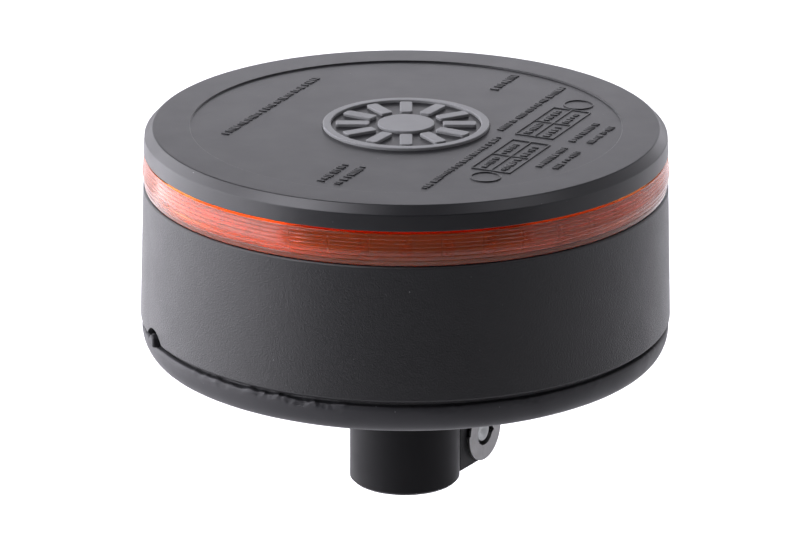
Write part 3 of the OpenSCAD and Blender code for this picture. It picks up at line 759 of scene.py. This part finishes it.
def build_skirt():
    """Rubber foot: round lower corner, thin uneven lip, ribbed underside and locating nubs."""
    corner_r, corner_h, lip, bore_r = 5.4, 7.6, 1.2, 31.3
    web_in, web_out, web_z = 37.0, R_SKIRT - 12, Z_SKIRT + 4.4
    collar_r = R_FLOOR + FOOT_GAP
    arc = []
    for i in range(19):
        a = math.radians(i * 5)
        arc.append((R_SKIRT - corner_r * (1 - math.sin(a)), Z_SKIRT + corner_h * (1 - math.cos(a))))
    outline = fillet([
        (bore_r, Z_FLOOR), (bore_r, Z_SKIRT, 0.4), (web_in, Z_SKIRT, 0.5), (web_in, web_z, 0.8),
        (web_out, web_z, 0.8), (web_out, Z_SKIRT, 0.5),
    ]) + [Vector(p) for p in arc] + fillet([
        (R_SKIRT, Z_SKIRT + corner_h + 0.05), (R_SKIRT - 0.15, Z_SKIRT_TOP - 0.35, 0.8),
        (R_SKIRT - lip, Z_SKIRT_TOP, 0.3), (collar_r, Z_SKIRT_TOP, 0.1), (collar_r, Z_FLOOR),
    ], closed=False)

    def uneven(r, z, a):
        """Ragged flash along the lip and a slightly wavy foot."""
        if r < R_SKIRT - 7:
            return r, z
        wave = noise.noise(Vector((math.cos(a) * 3, math.sin(a) * 3, 5.0)))
        r += 0.12 * wave
        if z > Z_SKIRT_TOP - 2.0 and r > R_FLOOR + 0.4:
            patch = max(0.0, noise.noise(Vector((math.cos(a) * 4, math.sin(a) * 4, 1.0))) + 0.15)
            torn = max(0.0, 1 - abs(math.degrees(a) % 360 - TORN_ANGLE) / TORN_SPAN) ** 0.3
            rough = noise.noise(Vector((math.cos(a) * 90, math.sin(a) * 90, z)))
            flap = noise.noise(Vector((math.cos(a) * 22, math.sin(a) * 22, 9.0)))
            r += 0.5 * patch * (rough - 0.4) + torn * (0.5 * flap + 0.15 * rough)
            z += 0.6 * patch * (rough - 0.4) + torn * (1.1 * max(-0.2, flap) + 0.2 * rough)
        return r, z

    duct = Matrix.Translation((*VENT_PLACE, 0))

    def with_duct(obj):
        """Takes the vent's duct out of a piece of the foot."""
        cutter = joined("duct", [prism_data(circle(VENT_DUCT_R, 48), Z_SKIRT - 1, Z_FLOOR + 1, duct)])
        return smooth(cut_by(obj, cutter), 40)

    foot = joined("rubber_foot", [revolve_data(outline, wobble=uneven, segments=720)])
    finish_piece(with_duct(foot), "beacon", "skirt_rubber", SKIRT_RUBBER, "base_skirt")
    rib = rounded_box(web_out - web_in + 1.2, RIB_W, 0.2, ends=2)
    parts = []
    for place in spokes(RIB_COUNT, (web_in + web_out) / 2):
        parts.append(prism_data(rib, Z_SKIRT + 0.3, web_z + 0.3, place))
    ribs = with_duct(joined("foot_ribs", parts))
    finish_piece(ribs, "beacon", "skirt_rubber", SKIRT_RUBBER, "base_skirt")

    shape = arch(NUB_R, NUB_RISE, Z_HOUSING - Z_SKIRT_TOP + 0.5)
    reach = R_BODY + NUB_OUT - R_FLOOR - FOOT_GAP
    nubs = []
    for a in NOTCH_ANGLES:
        nubs.append(prism_data(shape, 0, reach, facing_out(a, collar_r)))
    nubs = joined("foot_nubs", nubs)
    bevelled(nubs, 0.7, 4)
    finish_piece(nubs, "beacon", "skirt_rubber", SKIRT_RUBBER, "base_skirt")


# ---------- Clamp screw ----------


THREAD_R = 3.93
THREAD_ROOT_R = 3.3
DIMPLE_R = 1.5
HEAD_L = 9
WING_ANGLE = 60
WING_T = 2.6


def screw_axis():
    """Frame of the clamp screw: Z along it, X along the ears, origin between the ears."""
    return (
        Matrix.Rotation(math.radians(EAR_ANGLE), 4, "Z")
        @ Matrix.Rotation(math.pi / 2, 4, "X")
        @ Matrix.Translation((SCREW_OFFSET, SCREW_HEIGHT, 0))
    )


def helix_shank(r_out, r_root, low, high, dimple):
    """Points and faces of a threaded shank along Z with a tapered tip and a dimple."""
    steps, rows_per_turn, taper, dimple_depth, dimple_floor_r = 40, 10, 0.8, 0.75, 0.2
    rows = int((high - low) / THREAD_PITCH * rows_per_turn)
    points, faces = [], []
    for i in range(rows + 1):
        z = low + (high - low) * i / rows
        for k in range(steps):
            a = 2 * math.pi * k / steps
            phase = (z / THREAD_PITCH - a / (2 * math.pi)) % 1.0
            r = r_root + (r_out - r_root) * min(1.0, 2.4 * min(phase, 1 - phase))
            r = min(r, r_out - max(0.0, z - (high - taper)))
            points.append((r * math.cos(a), r * math.sin(a), z))
    for i in range(rows):
        for k in range(steps):
            n = (k + 1) % steps
            faces.append([i * steps + k, i * steps + n, (i + 1) * steps + n, (i + 1) * steps + k])
    last = rows * steps
    for depth, r in ((0.0, dimple), (dimple_depth, dimple_floor_r)):
        first = len(points)
        for k in range(steps):
            a = 2 * math.pi * k / steps
            points.append((r * math.cos(a), r * math.sin(a), high - depth))
        for k in range(steps):
            n = (k + 1) % steps
            faces.append([last + k, last + n, first + n, first + k])
        last = first
    faces.append([last + k for k in range(steps)])
    faces.append([k for k in reversed(range(steps))])
    return points, faces


def wing_outline():
    """Outline of one wing: X outwards, Y along the screw."""
    span, tip_r = 16.0, 5
    points = [(3.5, 7.2), (8.0, 6.4), (span - 2.6, 3.4)]
    for degrees in range(40, -111, -10):
        a = math.radians(degrees)
        points.append((span - tip_r + tip_r * math.cos(a), -1 + tip_r * math.sin(a)))
    points += [(8.2, -4.0), (6.0, -1.0), (3.5, 0.4)]
    return points


def build_wing_screw():
    """Wing screw with a real thread, a turned hub and two rounded wings."""
    head_face = -EAR_OUT - FEED_GAP - WASHER_T - HEAD_PLAY
    back = head_face - HEAD_L
    place = screw_axis()
    shank = helix_shank(THREAD_R, THREAD_ROOT_R, head_face - 0.5, SCREW_END, DIMPLE_R)
    shank = ([place @ Vector(p) for p in shank[0]], shank[1])
    shank = smooth(joined("wing_screw_shank", [shank]), 40, weighted=False)
    finish_piece(shank, "wing_screw", "zinc_clamp", MATERIALS["SHANK_ZINC"], "wing_screw")
    hub = fillet([(0, back), (5.2, back, 0.8), (6.8, back + 3.0, 1.2), (6.8, head_face - 1.2, 0.4),
                  (6.2, head_face, 0.3), (0, head_face)], closed=False)
    points, faces = revolve_data(hub, closed=False, segments=72)
    hub = smooth(joined("wing_screw_hub", [([place @ Vector(p) for p in points], faces)]))
    finish_piece(hub, "wing_screw", "zinc_clamp", MATERIALS["ZINC"], "wing_screw")
    parts = []
    for side in (0, 180):
        wing = (place @ Matrix.Rotation(math.radians(side + WING_ANGLE), 4, "Z")
                @ Matrix.Translation((0, 0, back)) @ Matrix.Rotation(math.pi / 2, 4, "X"))
        parts.append(prism_data(wing_outline(), -WING_T / 2, WING_T / 2, wing))
    wings = joined("wing_screw_wings", parts)
    bevelled(wings, 0.7, 4)
    finish_piece(wings, "wing_screw", "zinc_clamp", MATERIALS["ZINC"], "wing_screw")


# ---------- Contact spring ----------


def build_spring():
    """Round-wire spring that rides with the contact."""
    low, high = node_box("contact_spring")
    wire, radius, turns = 0.35, 3.9, 3.5
    steps, sides = 168, 16
    points, faces = [], []
    for i in range(steps + 1):
        t = i / steps
        a = 2 * math.pi * turns * t
        z = low.z + wire + (high.z - low.z - 2 * wire) * t
        for k in range(sides):
            b = 2 * math.pi * k / sides
            r = radius + wire * math.cos(b)
            points.append((r * math.cos(a), r * math.sin(a), z + wire * math.sin(b)))
    for i in range(steps):
        for k in range(sides):
            n = (k + 1) % sides
            faces.append([i * sides + k, i * sides + n, (i + 1) * sides + n, (i + 1) * sides + k])
    faces.append([k for k in reversed(range(sides))])
    faces.append([steps * sides + k for k in range(sides)])
    spring = smooth(mesh_object("round_spring", points, faces), 60, weighted=False)
    finish_piece(spring, "contact", "spring_steel", MATERIALS["SPRING_STEEL"], "contact_spring")
    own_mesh(spring)


# ---------- Pieces refined from their CAD nodes ----------

REFINED = [
    # node, edge rounding, material, slot, body
    ("socket", 0.35, "SOCKET_PLASTIC", "socket_black", "beacon"),
    ("clamp_nut", 0.28, "ZINC", "zinc_clamp", "beacon"),
    ("clamp_washer", 0.25, "ZINC", "zinc_clamp", "screw_washer"),
    ("floor_plate", 0.3, "FLOOR_PLASTIC", "floor_black", "beacon"),
    ("heat_sink", 0.3, "ALUMINIUM", "aluminium", "beacon"),
    ("led_strip", 0.1, "WHITE_BOARD", "white_circuit", "beacon"),
    ("leds", 0.15, "LED_BODY", "led_amber", "beacon"),
    ("cap_screws", 0.15, "SCREW_ZINC", "zinc_screws", "beacon"),
    ("board_screws", 0.12, "SCREW_ZINC", "zinc_screws", "beacon"),
    ("floor_screws", 0.15, "SCREW_ZINC", "zinc_screws", "beacon"),
    ("socket_screws", 0.15, "SCREW_ZINC", "zinc_screws", "beacon"),
    ("socket_gasket", 0.15, "SEAL_RUBBER", "seal_rubber", "beacon"),
    ("cap_gasket", 0.1, "SEAL_RUBBER", "seal_rubber", "beacon"),
    ("lens_gasket", 0.1, "SEAL_RUBBER", "seal_rubber", "beacon"),
    ("contact_cup", 0.25, "FLOOR_PLASTIC", "floor_black", "beacon"),
    ("contact_carrier", 0.2, "INSULATOR", "insulator_cream", "beacon"),
    ("contact_plunger", 0.2, "BRASS", "brass_contact", "contact"),
    ("plunger_clip", 0.12, "SPRING_STEEL", "spring_steel", "contact"),
    ("live_tag", 0.1, "BRASS", "brass_contact", "beacon"),
    ("earth_strip", 0.1, "BRASS", "brass_contact", "beacon"),
    ("vent_plug", 0.3, "VENT_PLASTIC", "vent_grey", "beacon"),
    ("driver_board", 0.12, "GREEN_BOARD", "green_circuit", "beacon"),
    ("capacitors", 0.4, "SLEEVE", "capacitor_sleeve", "beacon"),
    ("driver_chips", 0.15, "CHIP_EPOXY", "chip_black", "beacon"),
    ("terminal_block", 0.3, "TERMINAL", "terminal_green", "beacon"),
]


def build_refined():
    """Rebuilds the simpler pieces with rounded edges and their own materials."""
    for node, width, material, slot, body in REFINED:
        piece = refined(node + "_fine", node, width)
        finish_piece(piece, body, slot, MATERIALS[material], node)


def recoat(node, material):
    """Puts a finer material on a CAD node that is shown with its own mesh."""
    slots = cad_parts[node].data.materials
    slots.clear()
    slots.append(material)


RANDOM = random.Random(7)
build_cap()
build_marks()
build_badge()
build_lens()
build_housing()
build_skirt()
build_refined()
build_wing_screw()
build_spring()
recoat("optic_ring", CLEAR)
recoat("floor_seal", MATERIALS["SEAL_RUBBER"])
recoat("inductor", MATERIALS["COPPER"])
recoat("led_leads", MATERIALS["RED_WIRE"])
recoat("supply_leads", MATERIALS["BLACK_WIRE"])

# ---------- Stage, light and camera ----------

# Metres. The light is slightly cool.
FLOOR_DROP = 0.40
FLOOR_HALF = 12.0
COOL_WHITE = (1.0, 0.985, 1.06)
LIGHTS = (
    # name, place, aim, width, height, power, spread in degrees
    ("left_box", (-1.5, 0.1, 0.4), (0, 0, 0.08), 2.8, 1.8, 75, 180),
    ("overhead_left", (-0.75, -0.25, 1.35), (0, 0, 0.1), 0.7, 0.7, 14, 180),
    ("right_box", (1.5, 0.1, 0.4), (0, 0, 0.08), 2.8, 1.8, 10, 180),
    ("overhead_right", (0.75, -0.25, 1.35), (0, 0, 0.1), 0.7, 0.7, 3, 180),
    ("back_box", (-0.2, 1.4, 1.4), (-0.2, 1.4, -0.4), 4.4, 1.2, 30, 75),
    ("back_panel", (0, 0.8, 0.22), (0, 0, 0.22), 1.6, 0.3, 2, 180),
)
CAMERA_PLACE = (0, -1.5169, 0.5986)
CAMERA_PITCH = math.radians(19.30)
CAMERA_YAW = math.radians(0.0632)
CAMERA_ROLL = math.radians(0.2)
FOCAL_LENGTH = 239.7


def build_floor():
    """Plain pale floor well below the beacon, which a pole would hold up."""
    corners = ((-1, -1), (1, -1), (1, 1), (-1, 1))
    points = [(x * FLOOR_HALF, y * FLOOR_HALF, -FLOOR_DROP) for x, y in corners]
    mesh = bpy.data.meshes.new("floor")
    mesh.from_pydata(points, [], [(0, 1, 2, 3)])
    floor = new_object("floor", mesh)
    s = Surface("floor_paint", (0.86, 0.86, 0.86), 0.9)
    s.bump(s.noise(40, 2), 0.05)
    floor.data.materials.append(s.material)


def area_light(name, place, aim, width, height, power, spread):
    """Soft rectangular light that faces a point."""
    data = bpy.data.lights.new(name, "AREA")
    data.shape = "RECTANGLE"
    data.size = width
    data.size_y = height
    data.energy = power
    data.spread = math.radians(spread)
    data.color = COOL_WHITE
    obj = bpy.data.objects.new(name, data)
    bpy.context.scene.collection.objects.link(obj)
    obj.location = place
    direction = Vector(aim) - Vector(place)
    obj.rotation_mode = "QUATERNION"
    obj.rotation_quaternion = direction.to_track_quat("-Z", "Y")


def build_world():
    """Surroundings that are bright behind, dark in front and dimmer overhead."""
    world = bpy.data.worlds.new("studio")
    bpy.context.scene.world = world
    world.use_nodes = True
    tree = world.node_tree
    background = tree.nodes["Background"]
    coords = tree.nodes.new("ShaderNodeTexCoord")
    split = tree.nodes.new("ShaderNodeSeparateXYZ")
    tree.links.new(coords.outputs["Generated"], split.inputs[0])

    def eased(axis, low, high, to_low, to_high):
        """Strength that changes softly along one axis."""
        made = tree.nodes.new("ShaderNodeMapRange")
        made.interpolation_type = "SMOOTHSTEP"
        for name, value in (("From Min", low), ("From Max", high), ("To Min", to_low),
                            ("To Max", to_high)):
            made.inputs[name].default_value = value
        tree.links.new(split.outputs[axis], made.inputs["Value"])
        return made.outputs[0]

    product = tree.nodes.new("ShaderNodeMath")
    product.operation = "MULTIPLY"
    tree.links.new(eased("Y", -0.35, 0.85, 0.03, 0.8), product.inputs[0])
    tree.links.new(eased("Z", 0.12, 0.55, 1.0, 0.3), product.inputs[1])
    tree.links.new(product.outputs[0], background.inputs["Strength"])
    background.inputs["Color"].default_value = (*COOL_WHITE, 1)


def build_camera():
    """Camera at the height and angle from which the beacon is seen."""
    data = bpy.data.cameras.new("camera")
    data.lens = FOCAL_LENGTH
    data.sensor_width = 36
    data.clip_end = 100
    cam = bpy.data.objects.new("camera", data)
    bpy.context.scene.collection.objects.link(cam)
    cam.location = CAMERA_PLACE
    cam.rotation_mode = "QUATERNION"
    look = Matrix.Rotation(CAMERA_YAW, 4, "Z") @ Matrix.Rotation(math.pi / 2 - CAMERA_PITCH, 4, "X")
    cam.rotation_quaternion = (look @ Matrix.Rotation(CAMERA_ROLL, 4, "Z")).to_quaternion()
    bpy.context.scene.camera = cam


build_floor()
build_world()
for light in LIGHTS:
    area_light(*light)
build_camera()
bpy.context.scene.view_settings.view_transform = "Standard"
